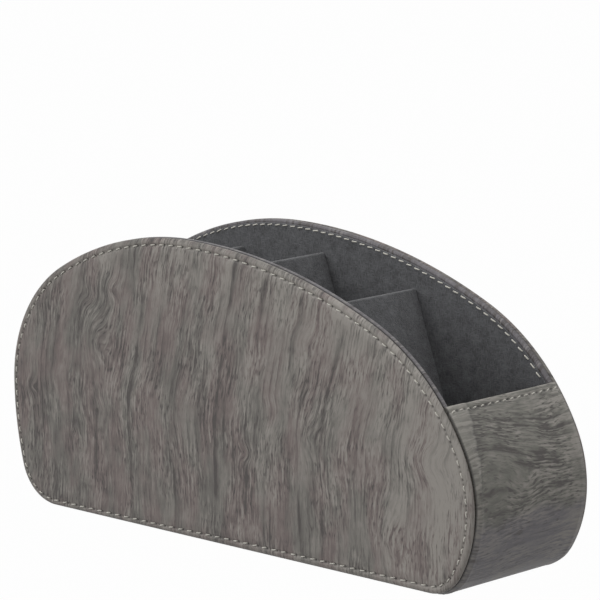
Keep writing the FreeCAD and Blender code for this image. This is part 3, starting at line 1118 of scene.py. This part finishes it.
def endLining(name, start, end, node):
    # A thin felt that follows the inside of the wall
    count = int(abs(end - start) / endLiningLook["spacing"]) + 2
    runs = np.linspace(start, end, count)
    near = border(runs, levels["boardInset"])[0]
    far = border(runs, levels["liningInner"])[0]
    loop = np.concatenate([near, far[::-1]])
    half = levels["bayHalf"]
    piece = board(name, loop, -half, half, endLiningLook["edge"])
    fit(piece, liningFelt, "lining_felt", node)


setback = endLiningLook["setback"]
endLining("endLiningLow", 0.0, lowTopRun - setback, "low_end_lining")
endLining("endLiningTall", tallTopRun + setback, curveEnd, "tall_end_lining")


def feltPad(name, node, material, slotName, corner, edge):
    # A flat pad with round corners, in its node's box
    low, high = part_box(node)
    turn = np.arange(0, 360, 10)
    side = np.sign(outward(turn + 1e-4))
    reach = np.array([(high.x - low.x) / 2 - corner, (high.y - low.y) / 2 - corner])
    middle = np.array([(high.x + low.x) / 2, (high.y + low.y) / 2])
    loop = middle + side * reach + corner * outward(turn)
    fit(board(name, loop, low.z, high.z, edge, upright=False), material, slotName, node)


feltPad("floorFelt", "floor_lining", liningFelt, "lining_felt", corner=0.5 * mm, edge=0.25 * mm)
feltPad("basePadFelt", "base_pad", padFelt, "pad_felt", corner=5 * mm, edge=0.2 * mm)


# Dividers: leaning boards covered with felt

dividerLook = {"thickness": 3 * mm, "lean": 20, "topSteps": 9, "edge": 0.5 * mm, "count": 4}


def divider(name, node):
    # A level foot, two long faces that lean, and a half round along the top
    look = dividerLook
    low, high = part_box(node)
    up = outward(90 + look["lean"])
    halfThick = look["thickness"] / 2
    halfFoot = np.array([halfThick / math.cos(math.radians(look["lean"])), 0])
    foot = np.array([high.x, low.z]) - halfFoot
    crown = high.z - halfThick
    shoulder = foot + up * (crown - low.z) / up[1]
    turn = np.linspace(look["lean"], look["lean"] + 180, look["topSteps"])
    top = shoulder + halfThick * outward(turn)
    loop = np.concatenate([[foot + halfFoot], top, [foot - halfFoot]])
    fit(board(name, loop, low.y, high.y, look["edge"]), liningFelt, "lining_felt", node)


for number in range(1, dividerLook["count"] + 1):
    divider("divider%d" % number, "divider_%d" % number)

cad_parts["base_board"].data.materials.clear()
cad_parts["base_board"].data.materials.append(baseLeather)
print("felt pieces made")


# Stage, lamps and camera

stageLook = {
    "floorReach": 12.0,
    "floorColour": 0.2,
    "floorGlow": 0.985,
    "world": 0.57,
    "lampTarget": (0.0, 0.0, 0.06),
    "keyLamp": {"place": (-0.9, -2.0, 1.3), "size": 1.2, "power": 22.2},
    "topLamp": {"place": (0.3, 0.1, 2.2), "size": 1.4, "power": 12.6},
}

reach = stageLook["floorReach"]
square = [(-reach, -reach, 0), (reach, -reach, 0), (reach, reach, 0), (-reach, reach, 0)]
floorMesh = bpy.data.meshes.new("floor")
floorMesh.from_pydata(square, [], [(0, 1, 2, 3)])
floor = placed("floor", floorMesh)


def seenRay(base):
    # 1 for the camera's own rays and for glossy ones
    path = base.node("ShaderNodeLightPath")
    return path.math("MAXIMUM", path.other("Is Glossy Ray"))


material, base = startMaterial("floorWhite")
plain = stageLook["floorColour"]
spread = base.node("ShaderNodeBsdfDiffuse", {}, {"Color": (plain, plain, plain, 1)})
glow = base.node("ShaderNodeEmission", {}, {"Color": (1, 1, 1, 1), "Strength": 1.0})
seen = seenRay(base) * stageLook["floorGlow"]
finishMaterial(base, base.node("ShaderNodeMixShader", {}, {0: seen, 1: spread, 2: glow}))
floorMesh.materials.append(material)

world = bpy.data.worlds.new("studio")
bpy.context.scene.world = world
sky = startTree(world)
strength = seenRay(sky) * (1 - stageLook["world"]) + stageLook["world"]
shine = sky.node("ShaderNodeBackground", {}, {"Color": (1, 1, 1, 1), "Strength": strength})
sky.node("ShaderNodeOutputWorld", {}, {"Surface": shine})


def turnTo(body, right, up, back, place):
    # The body's own X, Y and Z, and its place
    turned = Matrix(np.stack([right, up, back], 1).tolist()).to_4x4()
    turned.translation = place
    body.matrix_world = turned


def lamp(name):
    look, target = stageLook[name], np.array(stageLook["lampTarget"])
    light = bpy.data.lights.new(name, "AREA")
    light.energy, light.size = look["power"], look["size"]
    aim = unit(target - np.array(look["place"]))
    right = unit(np.cross(aim, (0, 0, 1.0)))
    turnTo(placed(name, light), right, np.cross(right, aim), -aim, look["place"])


lamp("keyLamp")
lamp("topLamp")

cameraLook = {
    "turn": 43.12,
    "rise": 10.448,
    "distance": 1848.66 * mm,
    "right": 5.56 * mm,
    "up": 120.1 * mm,
    "focal": 3605,
    "picture": 600,
    "sensor": 36,
    "clip": (0.05, 60),
}


def placeCamera():
    # Back along the view line from the origin, then right and up in its own plane
    look = cameraLook
    turn, rise = math.radians(look["turn"]), math.radians(look["rise"])
    right = np.array([math.cos(turn), math.sin(turn), 0])
    back = np.array([0, 0, math.sin(rise)]) + np.cross(right, [0, 0, 1]) * math.cos(rise)
    up = np.cross(back, right)
    data = bpy.data.cameras.new("camera")
    data.sensor_width = look["sensor"]
    data.lens = look["sensor"] * look["focal"] / look["picture"]
    data.clip_start, data.clip_end = look["clip"]
    camera = placed("camera", data)
    place = back * look["distance"] + right * look["right"] + up * look["up"]
    turnTo(camera, right, up, back, place.tolist())
    bpy.context.scene.camera = camera


placeCamera()
bpy.context.scene.view_settings.view_transform = "Standard"
print("stage, lamps and camera placed")
